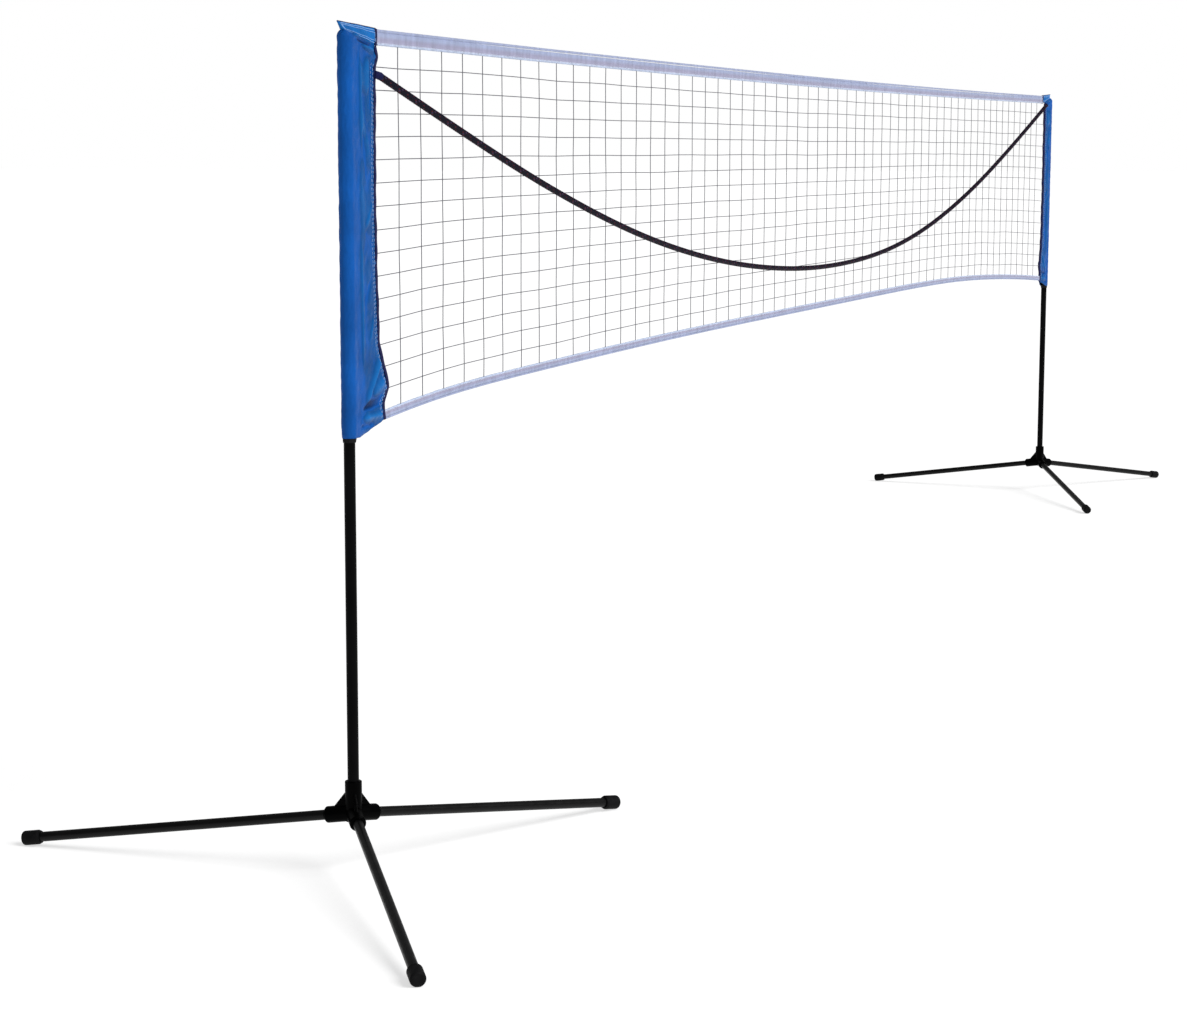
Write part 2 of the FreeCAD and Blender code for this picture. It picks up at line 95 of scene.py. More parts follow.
# Painted shade and highlight: the cloth's tone rises with fold height, lighter on ridges as a
# painted highlight and darker in creases as painted shade.
TONE_FLAT, FOLD_PAINTED_SHADE_DEPTH = 0.42, 0.011  # flat cloth's tone; fold height that adds 1 to it
# The panel's tone is painted shade that darkens the flat panel; the stitch tone is a painted
# highlight strip along each stitch row; the band's tone gives it the pale blue.
PANEL_PAINTED_SHADE, STITCH_PAINTED_HIGHLIGHT, BAND_TONE = 0.12, 0.12, 0.95
BAND_RECTANGLES = ((0.13, 0.0007), (0.27, 0.0006))  # inset share and thread radius
PIPING_RADIUS = 0.0013

# --- tapes, mesh and cord --------------------------------------------------------------
TAPE_STEP = 0.0075
TAPE_WALL = 0.0009
TAPE_END_STATIONS = 3
HEM_STITCH = (0.0062, 0.0042, 0.0004)  # pitch, length and radius
MESH_COLUMNS = 60
MESH_ROWS = 16
MESH_FROM_POST = 0.116         # where the even grid of columns starts; that one isn't drawn
MESH_TUCK = 0.004              # how far the threads reach into the tapes
THREAD_RADIUS = 0.0009
KNOT_SHIFT = 0.0022            # unevenness of the knots
KNOT_SIZE = 2.1                # as a multiple of the thread's radius
CORD_DIAMETER = 0.013
CORD_IN_FRONT = 0.0092
BRAID_PITCH = 0.072
BRAID_STRANDS = 8
BRAID_DEPTH = 0.0011
TAB_ROWS = 9
TAB_LENGTH = 0.0115            # webbing round each end of the cord
TAB_RADIUS = 0.0073
TAB_LEAN = 0.0040              # how far the webbing bends back to the seam
# Route from the left tab to the right tab: distance from mid-net, height.
CORD_ROUTE = [
    (-2.832, 1.4633), (-2.650, 1.4125), (-2.475, 1.3645), (-2.295, 1.316), (-2.120, 1.271),
    (-1.940, 1.228), (-1.765, 1.189), (-1.585, 1.1525), (-1.410, 1.121), (-1.230, 1.093),
    (-1.050, 1.069), (-0.870, 1.049), (-0.690, 1.033), (-0.515, 1.021), (-0.335, 1.012),
    (-0.155, 1.007), (0.025, 1.006), (0.205, 1.009), (0.380, 1.0155), (0.560, 1.0265),
    (0.735, 1.042), (0.915, 1.063), (1.090, 1.088), (1.265, 1.1175), (1.440, 1.1505),
    (1.615, 1.187), (1.790, 1.2265), (1.965, 1.269), (2.140, 1.314), (2.315, 1.360),
    (2.490, 1.4075), (2.680, 1.460), (2.868, 1.5124)]


# --- places read from the frame --------------------------------------------------------
def box_middle(node):
    low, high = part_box(node)
    return (low + high) / 2


NET_Y = box_middle("net_mesh").y
POST_X = {side: box_middle(side + "_upper_post").x for side in SIDES}
MID_X = (POST_X["left"] + POST_X["right"]) / 2


def tree_of(node):
    mesh = nodes[node].data
    return BVHTree.FromPolygons([v.co for v in mesh.vertices],
                                [p.vertices for p in mesh.polygons])


def heights_at(tree, x):
    """Lowest and highest point of a node above x, on the net's plane."""
    low = tree.ray_cast(Vector((x, NET_Y, -1)), Vector((0, 0, 1)))[0]
    high = tree.ray_cast(Vector((x, NET_Y, 3)), Vector((0, 0, -1)))[0]
    return low.z, high.z


def smooth_line(values, radius):
    kernel = np.hanning(2 * radius + 1)
    padded = np.pad(values, radius, mode="reflect", reflect_type="odd")
    return np.convolve(padded, kernel / kernel.sum(), mode="valid")


def seam_table(side):
    """Heights up the seam, and how far the seam stands from the post at each."""
    tree = tree_of(side + "_sleeve")
    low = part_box(side + "_edge_binding")[0].z + 0.004
    high = BAND_INNER[0][1] - 0.002
    heights = np.linspace(low, high, 240)
    reach = []
    for z in heights:
        hit = tree.ray_cast(Vector((MID_X, NET_Y, z)), Vector((-SIDES[side], 0, 0)))[0]
        reach.append((hit.x - POST_X[side]) * SIDES[side])
    bulge = SEAM_BULGE[side] * np.exp(-((heights - SEAM_BULGE_AT) / SEAM_BULGE_HALF) ** 2)
    return heights, smooth_line(np.array(reach), 3) + bulge


SEAMS = {side: seam_table(side) for side in SIDES}


def seam_reach(side, z):
    heights, reach = SEAMS[side]
    return np.interp(z, heights, reach)


def place(side, x, y, z):
    """Points given from a post's axis (x towards mid-net, y away from the viewer)."""
    x, y, z = np.broadcast_arrays(x, y, z)
    return np.stack([POST_X[side] + SIDES[side] * x, NET_Y + y, z], axis=-1)


def eased(share):
    """Turns an even rise from 0 to 1 into one with soft ends."""
    return share * share * (3 - 2 * share)


def run_along(line):
    """Distance from a line's first point to each of its points."""
    return np.concatenate([[0], np.cumsum(np.linalg.norm(np.diff(line, axis=0), axis=1))])


def sampled(where, run, values):
    """Points or directions interpolated at a distance, or several, along a run."""
    return np.stack([np.interp(where, run, values[:, k]) for k in range(3)], axis=-1)


# --- mesh helpers ----------------------------------------------------------------------
def new_piece(name, points, faces, material, uv=None):
    """A mesh that rides on the net; uv is a pair of arrays that spread over its points."""
    mesh = bpy.data.meshes.new(name)
    mesh.from_pydata(np.asarray(points, float).reshape(-1, 3).tolist(), [], faces)
    if uv is not None:
        spread = np.stack(np.broadcast_arrays(*uv), axis=-1).astype(np.float32).reshape(-1, 2)
        layer = mesh.uv_layers.new(name="weave")
        loops = np.empty(len(mesh.loops), np.int32)
        mesh.loops.foreach_get("vertex_index", loops)
        layer.data.foreach_set("uv", spread[loops].ravel())
    mesh.polygons.foreach_set("use_smooth", [True] * len(mesh.polygons))
    mesh.update()
    piece = bpy.data.objects.new(name, mesh)
    bpy.context.scene.collection.objects.link(piece)
    piece.data.materials.append(material)
    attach(piece, "net")
    return piece


def grid_faces(rows, columns, flip):
    """Quads of a grid of rows by columns, joined round each row."""
    faces = []
    for r in range(rows - 1):
        for c in range(columns):
            d = (c + 1) % columns
            quad = (r * columns + c, r * columns + d, (r + 1) * columns + d, (r + 1) * columns + c)
            faces.append(quad[::-1] if flip else quad)
    return faces


def capped_faces(rows, columns, flip=True):
    """Faces of a grid with its two ends closed; the rings of tube_rings need flip."""
    first = tuple(range(columns))
    last = tuple(range((rows - 1) * columns, rows * columns))
    ends = [first, last[::-1]] if flip else [first[::-1], last]
    return grid_faces(rows, columns, flip) + ends


def tube_rings(path, radius, sides, side_axis=(0, 1, 0)):
    """Rings of points round a path; radius is a number or an array of rows by sides."""
    path = np.asarray(path, float)
    tangent = np.gradient(path, axis=0)
    tangent /= np.linalg.norm(tangent, axis=1)[:, None]
    across = np.cross(tangent, np.asarray(side_axis, float))
    across /= np.linalg.norm(across, axis=1)[:, None]
    second = np.cross(across, tangent)
    angle = np.linspace(0, 2 * math.pi, sides, endpoint=False)
    radius = np.broadcast_to(radius, (len(path), sides))[..., None]
    ring = across[:, None] * np.cos(angle)[None, :, None]
    ring = ring + second[:, None] * np.sin(angle)[None, :, None]
    return path[:, None] + radius * ring


def stands_for(node_name):
    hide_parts(node_name)


class Bundle:
    """Many small tubes or beads gathered into one piece."""

    def __init__(self):
        self.points = []
        self.faces = []
        self.count = 0

    def add(self, points, faces):
        points = np.asarray(points, float).reshape(-1, 3)
        self.faces += [tuple(i + self.count for i in face) for face in faces]
        self.points.append(points)
        self.count += len(points)

    def tube(self, path, radius, sides, side_axis=(0, 1, 0)):
        rings = tube_rings(path, radius, sides, side_axis)
        self.add(rings, capped_faces(len(rings), sides))

    def piece(self, name, material):
        return new_piece(name, np.concatenate(self.points), self.faces, material)


def add_stitches(bundle, line, normals, stitch):
    """Short threads laid along a line, each one dipping into the cloth at its two ends."""
    pitch, length, radius = stitch
    run = run_along(line)
    shape = np.array([-0.5, -0.3, 0.0, 0.3, 0.5])
    lift = np.array([-0.6, 0.7, 0.9, 0.7, -0.6]) * radius
    for middle in np.arange(pitch / 2, run[-1] - pitch / 2, pitch):
        along = middle + shape * length
        normal = sampled(along, run, normals)
        path = sampled(along, run, line) + normal * lift[:, None]
        bundle.tube(path, radius, 4, normal[2])


# --- material helpers ------------------------------------------------------------------
def shade(name, colour, roughness, specular):
    """A new material and its node tree, with the main shader set."""
    material = bpy.data.materials.new(name)
    material.use_nodes = True
    tree = material.node_tree
    shader = tree.nodes["Principled BSDF"]
    shader.inputs["Base Color"].default_value = (*colour, 1)
    shader.inputs["Roughness"].default_value = roughness
    shader.inputs["Specular IOR Level"].default_value = specular
    return material, tree, shader


def feed(shader, name, value):
    """Lets another node's output set one of the shader's inputs."""
    shader.id_data.links.new(value, shader.inputs[name])


def node(tree, kind, **values):
    made = tree.nodes.new("ShaderNode" + kind)
    for key, value in values.items():
        if key in made.inputs:
            made.inputs[key].default_value = value
        else:
            setattr(made, key, value)
    return made


def coordinates(tree, scale, source="Object"):
    where = node(tree, "TexCoord")
    mapping = node(tree, "Mapping")
    mapping.inputs["Scale"].default_value = scale
    tree.links.new(where.outputs[source], mapping.inputs["Vector"])
    return mapping.outputs["Vector"]


def noise_value(tree, scale, detail, stretch=(1, 1, 1), roughness=0.5):
    texture = node(tree, "TexNoise", Scale=scale, Detail=detail, Roughness=roughness)
    tree.links.new(coordinates(tree, stretch), texture.inputs["Vector"])
    return texture.outputs["Fac"]


def ramp(tree, value, stops):
    """Colours or grey levels at places from 0 to 1."""
    made = node(tree, "ValToRGB")
    elements = made.color_ramp.elements
    while len(elements) < len(stops):
        elements.new(0.5)
    for element, (place_at, colour) in zip(elements, stops):
        element.position = place_at
        if not hasattr(colour, "__len__"):
            colour = (colour, colour, colour)
        element.color = (*colour, 1)
    tree.links.new(value, made.inputs["Fac"])
    return made.outputs["Color"]


def mixed(tree, mode, factor, first, second):
    made = node(tree, "Mix", data_type="RGBA", blend_type=mode)
    for socket, value in ((made.inputs["Factor"], factor), (made.inputs[6], first),
                          (made.inputs[7], second)):
        if hasattr(value, "is_output"):
            tree.links.new(value, socket)
        else:
            socket.default_value = value
    return made.outputs[2]


def bumped(tree, shader, height, strength, distance, below=None):
    made = node(tree, "Bump", Strength=strength, Distance=distance)
    tree.links.new(height, made.inputs["Height"])
    if below is not None:
        tree.links.new(below, made.inputs["Normal"])
    feed(shader, "Normal", made.outputs["Normal"])
    return made.outputs["Normal"]


def weave_height(tree, period):
    """Plain weave of two thread directions, from the piece's own coordinates in metres."""
    waves = []
    for axis in ("X", "Y"):
        wave = node(tree, "TexWave", wave_type="BANDS", bands_direction=axis,
                    wave_profile="SIN", Scale=math.pi / 10 / period, Distortion=0.6,
                    Detail=1.0)
        tree.links.new(coordinates(tree, (1, 1, 1), "UV"), wave.inputs["Vector"])
        waves.append(wave.outputs["Fac"])
    product = node(tree, "Math", operation="MULTIPLY")
    tree.links.new(waves[0], product.inputs[0])
    tree.links.new(waves[1], product.inputs[1])
    return product.outputs[0]


# --- materials -------------------------------------------------------------------------
def powder_coat(name, colour, roughness, specular):
    material, tree, shader = shade(name, colour, roughness, specular)
    tone = noise_value(tree, 9.0, 4.0)
    dark = tuple(c * 0.7 for c in colour)
    light = tuple(c * 1.5 + 0.0004 for c in colour)
    feed(shader, "Base Color", ramp(tree, tone, [(0.3, dark), (0.7, light)]))
    scuff = noise_value(tree, 60.0, 6.0, roughness=0.7)
    feed(shader, "Roughness",
         ramp(tree, scuff, [(0.25, roughness - 0.08), (0.75, roughness + 0.12)]))
    peel = noise_value(tree, 1400.0, 2.0)
    bumped(tree, shader, peel, 0.16, 0.0002)
    return material


def moulded_plastic(name, colour, roughness, specular):
    material, tree, shader = shade(name, colour, roughness, specular)
    cloudy = noise_value(tree, 40.0, 3.0)
    feed(shader, "Roughness",
         ramp(tree, cloudy, [(0.3, roughness - 0.07), (0.7, roughness + 0.1)]))
    rounded = node(tree, "Bevel", samples=4, Radius=0.0009)
    bumped(tree, shader, noise_value(tree, 2200.0, 2.0), 0.14, 0.0002,
           rounded.outputs["Normal"])
    return material


def rubber(name, colour):
    material, tree, shader = shade(name, colour, 0.62, 0.08)
    dust = noise_value(tree, 70.0, 5.0)
    pale = tuple(c * 2.2 + 0.002 for c in colour)
    feed(shader, "Base Color", ramp(tree, dust, [(0.45, colour), (0.8, pale)]))
    rounded = node(tree, "Bevel", samples=4, Radius=0.0012)
    bumped(tree, shader, noise_value(tree, 900.0, 4.0), 0.25, 0.0003,
           rounded.outputs["Normal"])
    return material


def sleeve_cloth():
    main, crease_painted_shade = (0.0044, 0.081, 0.340), (0.0016, 0.022, 0.095)
    panel_painted_shade, pale = (0.0022, 0.064, 0.240), (0.008, 0.132, 0.415)
    material, tree, shader = shade("sleeve_cloth", main, 0.44, 0.06)
    # The tone picks the colour: painted shade in creases at its low end, the cloth's main blue, a
    # darker painted shade for the flat panel, and a pale painted highlight for fold ridges at its
    # high end, which also colours the band.
    tone = node(tree, "Attribute", attribute_name="tone")
    fold_painted_shading = ramp(tree, tone.outputs["Fac"], [(0.0, crease_painted_shade), (0.38, main), (0.46, main),
                                               (0.56, panel_painted_shade), (1.0, pale)])
    cloudy = ramp(tree, noise_value(tree, 14.0, 4.0), [(0.25, 0.78), (0.75, 1.18)])
    tint = mixed(tree, "MULTIPLY", 1.0, fold_painted_shading, cloudy)
    fibre = ramp(tree, noise_value(tree, 900.0, 2.0, (1, 1, 0.25)), [(0.2, 0.88), (0.8, 1.1)])
    tint = mixed(tree, "MULTIPLY", 1.0, tint, fibre)
    feed(shader, "Base Color", tint)
    rough = ramp(tree, noise_value(tree, 35.0, 4.0), [(0.3, 0.36), (0.7, 0.52)])
    feed(shader, "Roughness", rough)
    fine = bumped(tree, shader, weave_height(tree, 0.0009), 0.22, 0.00025)
    crinkle = noise_value(tree, 85.0, 5.0, (1, 1, 0.6), 0.6)
    bumped(tree, shader, crinkle, 0.30, 0.0014, fine)
    return material


def webbing(name, colour, edge, period=0.0011):
    material, tree, shader = shade(name, colour, 0.7, 0.12)
    mottle = noise_value(tree, 260.0, 3.0)
    feed(shader, "Base Color", ramp(tree, mottle, [(0.3, colour), (0.8, edge)]))
    bumped(tree, shader, weave_height(tree, period), 0.5, 0.0005)
    return material


def coated_tape():
    """Pale tape: smooth along its top, dusky and puckered lower down, with a light edge."""
    material, tree, shader = shade("coated_tape", (0.5, 0.55, 0.76), 0.5, 0.35)
    shader.inputs["Sheen Weight"].default_value = 0.1
    down = node(tree, "Attribute", attribute_name="down")
    smooth = ramp(tree, down.outputs["Fac"],
                  [(0.0, (0.315, 0.36, 0.54)), (0.36, (0.305, 0.35, 0.52)),
                   (0.58, (0.285, 0.28, 0.41)), (0.80, (0.32, 0.315, 0.45)),
                   (0.90, (0.50, 0.58, 0.77)), (1.0, (0.48, 0.56, 0.75))])
    mottle = ramp(tree, noise_value(tree, 55.0, 5.0, (1.6, 1, 0.5)), [(0.3, 0.82), (0.7, 1.10)])
    feed(shader, "Base Color", mixed(tree, "MULTIPLY", 1.0, smooth, mottle))
    rough = ramp(tree, noise_value(tree, 120.0, 3.0), [(0.3, 0.42), (0.7, 0.6)])
    feed(shader, "Roughness", rough)
    bumped(tree, shader, weave_height(tree, 0.0012), 0.3, 0.0003)
    return material


def net_thread():
    material, tree, shader = shade("net_thread", (0.11, 0.11, 0.13), 0.75, 0.2)
    twist = noise_value(tree, 700.0, 2.0)
    feed(shader, "Base Color",
         ramp(tree, twist, [(0.3, (0.075, 0.075, 0.09)), (0.7, (0.15, 0.15, 0.175))]))
    bumped(tree, shader, noise_value(tree, 1500.0, 2.0), 0.3, 0.0002)
    return material


def braided_cord():
    """Near-black braid; a few strands of one direction are dark red, a few of the other blue as a
    painted highlight for the braid's glints.
    """
    dark, red, blue_highlight_strand = (0.0050, 0.0042, 0.0110), (0.058, 0.007, 0.013), (0.022, 0.028, 0.068)
    material, tree, shader = shade("braided_cord", dark, 0.60, 0.05)
    strand = node(tree, "Attribute", attribute_name="strand")
    tint = ramp(tree, strand.outputs["Fac"], [(0.0, dark), (0.45, dark), (0.5, red), (0.72, red),
                                              (0.78, blue_highlight_strand), (1.0, blue_highlight_strand)])
    tint.node.color_ramp.interpolation = "CONSTANT"
    fibre = ramp(tree, noise_value(tree, 900.0, 3.0), [(0.25, 0.6), (0.8, 1.5)])
    feed(shader, "Base Color", mixed(tree, "MULTIPLY", 1.0, tint, fibre))
    bumped(tree, shader, noise_value(tree, 1800.0, 2.0), 0.35, 0.0003)
    return material


def thread(name, colour):
    material, tree, shader = shade(name, colour, 0.55, 0.35)
    twist = ramp(tree, noise_value(tree, 1500.0, 2.0), [(0.3, 0.8), (0.7, 1.15)])
    feed(shader, "Base Color", mixed(tree, "MULTIPLY", 1.0, (*colour, 1), twist))
    return material


POST_COAT = powder_coat("post_coat", (0.0018, 0.0018, 0.0020), 0.36, 0.03)
LEG_COAT = powder_coat("leg_coat", (0.0008, 0.0008, 0.0009), 0.36, 0.15)
UPPER_COAT = powder_coat("upper_tube_coat", (0.006, 0.006, 0.007), 0.38, 0.1)
HUB_PLASTIC = moulded_plastic("hub_plastic", (0.0004, 0.0004, 0.0005), 0.30, 0.02)
FITTING_PLASTIC = moulded_plastic("fitting_plastic", (0.010, 0.010, 0.011), 0.45, 0.3)
LOCK_PLASTIC = moulded_plastic("lock_plastic", (0.03, 0.03, 0.034), 0.5, 0.35)
FOOT_RUBBER = rubber("foot_rubber", (0.0024, 0.0024, 0.0027))
SLEEVE_CLOTH = sleeve_cloth()
NAVY_WEB = webbing("navy_web", (0.005, 0.007, 0.045), (0.014, 0.013, 0.075))
CUFF_KNIT = webbing("cuff_knit", (0.003, 0.003, 0.0035), (0.012, 0.012, 0.013), 0.0016)
TAPE_CLOTH = coated_tape()
THREAD_GREY = net_thread()
CORD_BRAID = braided_cord()
SEAM_THREAD = thread("seam_thread", (0.30, 0.43, 0.68))
PIPING_BLUE = webbing("piping_blue", (0.16, 0.34, 0.66), (0.26, 0.44, 0.74))
TAPE_THREAD = thread("tape_thread", (0.68, 0.72, 0.82))


# --- CAD nodes that stay ---------------------------------------------------------------
def dress_cad_nodes():
    finishes = {"_hub": HUB_PLASTIC, "_lower_post": POST_COAT, "_upper_post": UPPER_COAT,
                "_guide_plug": FITTING_PLASTIC, "_post_cap": FITTING_PLASTIC,
                "_collet": FITTING_PLASTIC, "_lock_ring": LOCK_PLASTIC,
                "_leg_": LEG_COAT, "_foot_": FOOT_RUBBER}
    for name, piece in nodes.items():
        for part, finish in finishes.items():
            if part in name:
                piece.data.materials.clear()
                piece.data.materials.append(finish)


# --- sleeve ----------------------------------------------------------------------------
def teardrop(reach, radius, share):
    """Outline round the post and out to the seam; share runs from -1 (seam, front) to 1."""
    tip = math.atan2(SEAM_HALF, reach)
    distance = math.hypot(reach, SEAM_HALF)
    touch = tip + math.acos(radius / distance)
    arc = radius * (math.pi - touch)
    straight = math.sqrt(distance ** 2 - radius ** 2)
    along = np.abs(share) * (arc + straight)
    angle = math.pi - np.minimum(along, arc) / radius
    out = np.clip((along - arc) / straight, 0, 1)
    x = radius * np.cos(angle) * (1 - out) + reach * out
    y = radius * np.sin(angle) * (1 - out) + SEAM_HALF * out
    return x, np.sign(share) * y


def sleeve_top(x):
    """Height of the band's lower edge above a point this far from the post."""
    corners = (SHOULDER, BAND_OUTER[0], BAND_INNER[0])
    return np.interp(x, [corner[0] for corner in corners], [corner[1] for corner in corners])


def sleeve_hem(side, x):
    low = SEAMS[side][0][0]
    reach = seam_reach(side, low)
    return np.interp(x, [0.018, reach], [SLEEVE_HEM, low - 0.002])


def ridge(x, z, start, end, width, height, skew=0.0):
    """A fold along a line, steeper on one side, that narrows and fades out at its ends."""
    (x0, z0), (x1, z1) = start, end
    run = math.hypot(x1 - x0, z1 - z0)
    ux, uz = (x1 - x0) / run, (z1 - z0) / run
    along = ((x - x0) * ux + (z - z0) * uz) / run
    off = (x - x0) * -uz + (z - z0) * ux
    ends = eased(np.clip(1.12 - np.abs(2 * along - 1), 0, 0.6) / 0.6)
    wide = np.where(off > 0, width * (1 + skew), width * (1 - skew)) * (0.55 + 0.45 * ends)
    return height * ends * np.exp(-(off / wide) ** 2)


# Folds of the near sleeve's viewer side and of its far side, by share of the seam's reach
# and height: start, end, half width, height, skew.
FRONT_FOLDS = [
    ((-0.06, 1.5370), (1.02, 1.5190), 0.0040, 0.0042, -0.3),
    ((0.12, 1.5286), (1.14, 1.5122), 0.0037, -0.0064, 0.3),
    ((0.40, 1.5170), (0.98, 1.5070), 0.0042, 0.0048, -0.2),
    ((0.30, 1.5150), (0.36, 1.3300), 0.0080, 0.0034, 0.4),
    ((0.66, 1.5000), (0.60, 1.4300), 0.0110, 0.0044, -0.3),
    ((0.86, 1.4980), (0.74, 1.3900), 0.0045, -0.0036, 0.2),
    ((0.36, 1.4500), (0.58, 1.3400), 0.0060, -0.0026, 0.4),
    ((0.44, 1.4000), (0.86, 1.2850), 0.0065, 0.0030, -0.6),
    ((0.40, 1.3700), (0.60, 1.2700), 0.0050, -0.0024, 0.3),
    ((0.34, 1.3200), (0.42, 1.1500), 0.0110, 0.0024, 0.2),
    ((0.90, 1.2400), (0.50, 1.1900), 0.0055, 0.0022, 0.5),
    ((0.45, 1.1850), (0.90, 1.1500), 0.0050, -0.0018, 0.5),
    ((0.30, 1.1800), (0.34, 0.9300), 0.0080, 0.0034, 0.3),
    ((0.85, 1.1200), (0.45, 1.0500), 0.0060, -0.0020, 0.3),
    ((0.78, 1.0300), (0.62, 0.9800), 0.0040, 0.0022, 0.4),
    ((0.86, 0.9560), (0.30, 0.8620), 0.0065, 0.0050, -0.4),
    ((0.98, 0.9080), (0.50, 0.8860), 0.0110, 0.0036, 0.0),
    ((1.02, 0.8680), (0.26, 0.8590), 0.0075, -0.0082, -0.5),
    ((0.96, 0.8450), (0.22, 0.8440), 0.0062, 0.0056, 0.2),
    ((0.62, 0.8290), (0.18, 0.8300), 0.0040, -0.0034, 0.0),
]
BACK_FOLDS = [
    ((-0.06, 1.5370), (1.02, 1.5190), 0.0040, 0.0038, -0.3),
    ((0.24, 1.5258), (1.02, 1.5140), 0.0040, -0.0075, 0.2),
    ((0.30, 1.5000), (0.26, 1.3300), 0.0090, 0.0034, 0.2),
    ((0.75, 1.4900), (0.40, 1.3900), 0.0070, 0.0032, -0.4),
    ((0.35, 1.3400), (0.80, 1.2600), 0.0065, 0.0026, 0.4),
    ((0.85, 1.2200), (0.38, 1.1200), 0.0065, 0.0022, -0.4),
    ((0.32, 1.1500), (0.35, 0.9400), 0.0090, 0.0032, 0.2),
    ((0.85, 1.0300), (0.40, 0.9500), 0.0060, -0.0022, 0.2),
    ((0.95, 0.9250), (0.40, 0.8700), 0.0060, 0.0056, 0.4),
    ((0.90, 0.8720), (0.35, 0.8560), 0.0052, -0.0044, 0.0),
    ((0.80, 0.8460), (0.30, 0.8400), 0.0060, 0.0034, 0.0),
]


def cloth_noise(x, y, z, size, seed):
    """Smooth noise at points given as arrays, about -0.5 to 0.5."""
    shape = np.shape(x)
    points = np.stack([np.ravel(a) for a in np.broadcast_arrays(x, y, z)], axis=1) / size + seed
    values = [noise.noise(Vector(p)) for p in points]
    return np.array(values).reshape(shape)


def sleeve_rows():
    rows = [0.0]
    for end, count in SLEEVE_ROW_RUNS:
        rows += np.linspace(rows[-1], end, count + 1)[1:].tolist()
    return np.array(rows)


def sleeve_grid(side):
    """Points, outward normals and tones of a sleeve's cloth, rows from hem to top; the tones carry
    painted shade and highlight.
    """
    share = np.linspace(-1, 1, SLEEVE_COLUMNS)
    rows = sleeve_rows()
    x = np.empty((len(rows), SLEEVE_COLUMNS))
    y = np.empty_like(x)
    z = np.empty_like(x)
    seam_low = SEAMS[side][0][0] - 0.002
    for i, v in enumerate(rows):
        height = SLEEVE_HEM + v * (BAND_OUTER[0][1] - SLEEVE_HEM)
        tip = float(seam_reach(side, seam_low + v * (BAND_INNER[0][1] - seam_low)))
        radius = np.interp(height, HEM_TAPER, [SLEEVE_LOW_RADIUS, SLEEVE_RADIUS])
        x[i], y[i] = teardrop(tip, radius, share)
        z[i] = sleeve_hem(side, x[i]) * (1 - v) + sleeve_top(x[i]) * v
    reach = seam_reach(side, z)
    across = np.clip(x / reach, -0.2, 1)
    front = (share < 0)[None, :]
    fold = np.zeros_like(x)
    for table, face in ((FRONT_FOLDS, front), (BACK_FOLDS, ~front)):
        for start, end, width, height, skew in table:
            scale = float(seam_reach(side, (start[1] + end[1]) / 2))
            first = (start[0] * scale, start[1])
            last = (end[0] * scale, end[1])
            fold += face * ridge(across * reach, z, first, last, width, height, skew)
    from_seam = (1 - across) * reach
    seam_room = eased(np.clip((from_seam - SEAM_FLAT) / SEAM_FADE, 0, 1))
    post_room = np.clip((across - 0.02) / 0.15, 0, 1)
    fold *= seam_room * (0.12 + 0.88 * post_room)
    fold *= SEAMS[side][1].mean() / SEAMS["left"][1].mean()
    crumple = cloth_noise(x, y * 4, z * 0.6, CRUMPLE_SIZE, 3.0)
    fold += CRUMPLE_HEIGHT * crumple * post_room * seam_room
    fold += FINE_CRUMPLE_HEIGHT * cloth_noise(x, y * 4, z, FINE_CRUMPLE_SIZE, 9.0)
    pucker = np.sin(z / PUCKER_PITCH * 2 * math.pi + 2.0 * np.sin(z * 31))
    fold += PUCKER_HEIGHT * pucker * np.exp(-((from_seam - SEAM_FLAT) / PUCKER_REACH) ** 2)
    fold = np.maximum(fold, CLOTH_HALF_GAP - np.abs(y))
    close = np.clip((z - (sleeve_top(x) - SLEEVE_SHOULDER)) / SLEEVE_SHOULDER, 0, 1)
    closing = np.sqrt(1 - 0.999 * close ** 2)
    fold *= 1 - close ** 12
    points = place(side, x, y * closing, z)
    normals = SIDES[side] * grid_normals(points)
    # Painted shade and highlight in the tone: ridges lighter, creases darker, the flat panel
    # darker, and a lighter strip along each stitch row.
    panel_painted_shade = np.clip((across - 0.18) / 0.24, 0, 1)
    tone = TONE_FLAT + fold / FOLD_PAINTED_SHADE_DEPTH + PANEL_PAINTED_SHADE * panel_painted_shade
    for row in STITCH_ROWS:
        tone += STITCH_PAINTED_HIGHLIGHT * np.exp(-((from_seam - row) / 0.002) ** 2)
    tone = np.clip(tone, 0, 1)
    return points + normals * fold[..., None], normals, tone


def grid_normals(points):
    up = np.gradient(points, axis=0)
    round_it = np.gradient(points, axis=1)
    normals = np.cross(up, round_it)
    length = np.linalg.norm(normals, axis=2)
    return normals / np.maximum(length, 1e-12)[..., None]


def point_values(piece, name, values):
    attribute = piece.data.attributes.new(name, "FLOAT", "POINT")
    attribute.data.foreach_set("value", np.ravel(values).astype(np.float32))


def build_sleeve(side):
    points, normals, tone = sleeve_grid(side)
    faces = grid_faces(len(points), SLEEVE_COLUMNS, SIDES[side] > 0)
    run = np.linalg.norm(np.diff(points, axis=1, append=points[:, :1]), axis=2)
    cloth = new_piece(side + "_sleeve_cloth", points, faces, SLEEVE_CLOTH,
                      uv=(np.cumsum(run, axis=1), points[..., 2]))
    point_values(cloth, "tone", tone)
    wall = cloth.modifiers.new("wall", "SOLIDIFY")
    wall.thickness = SLEEVE_WALL
    wall.offset = -1
    stands_for(side + "_sleeve")
    return cloth, points, normals


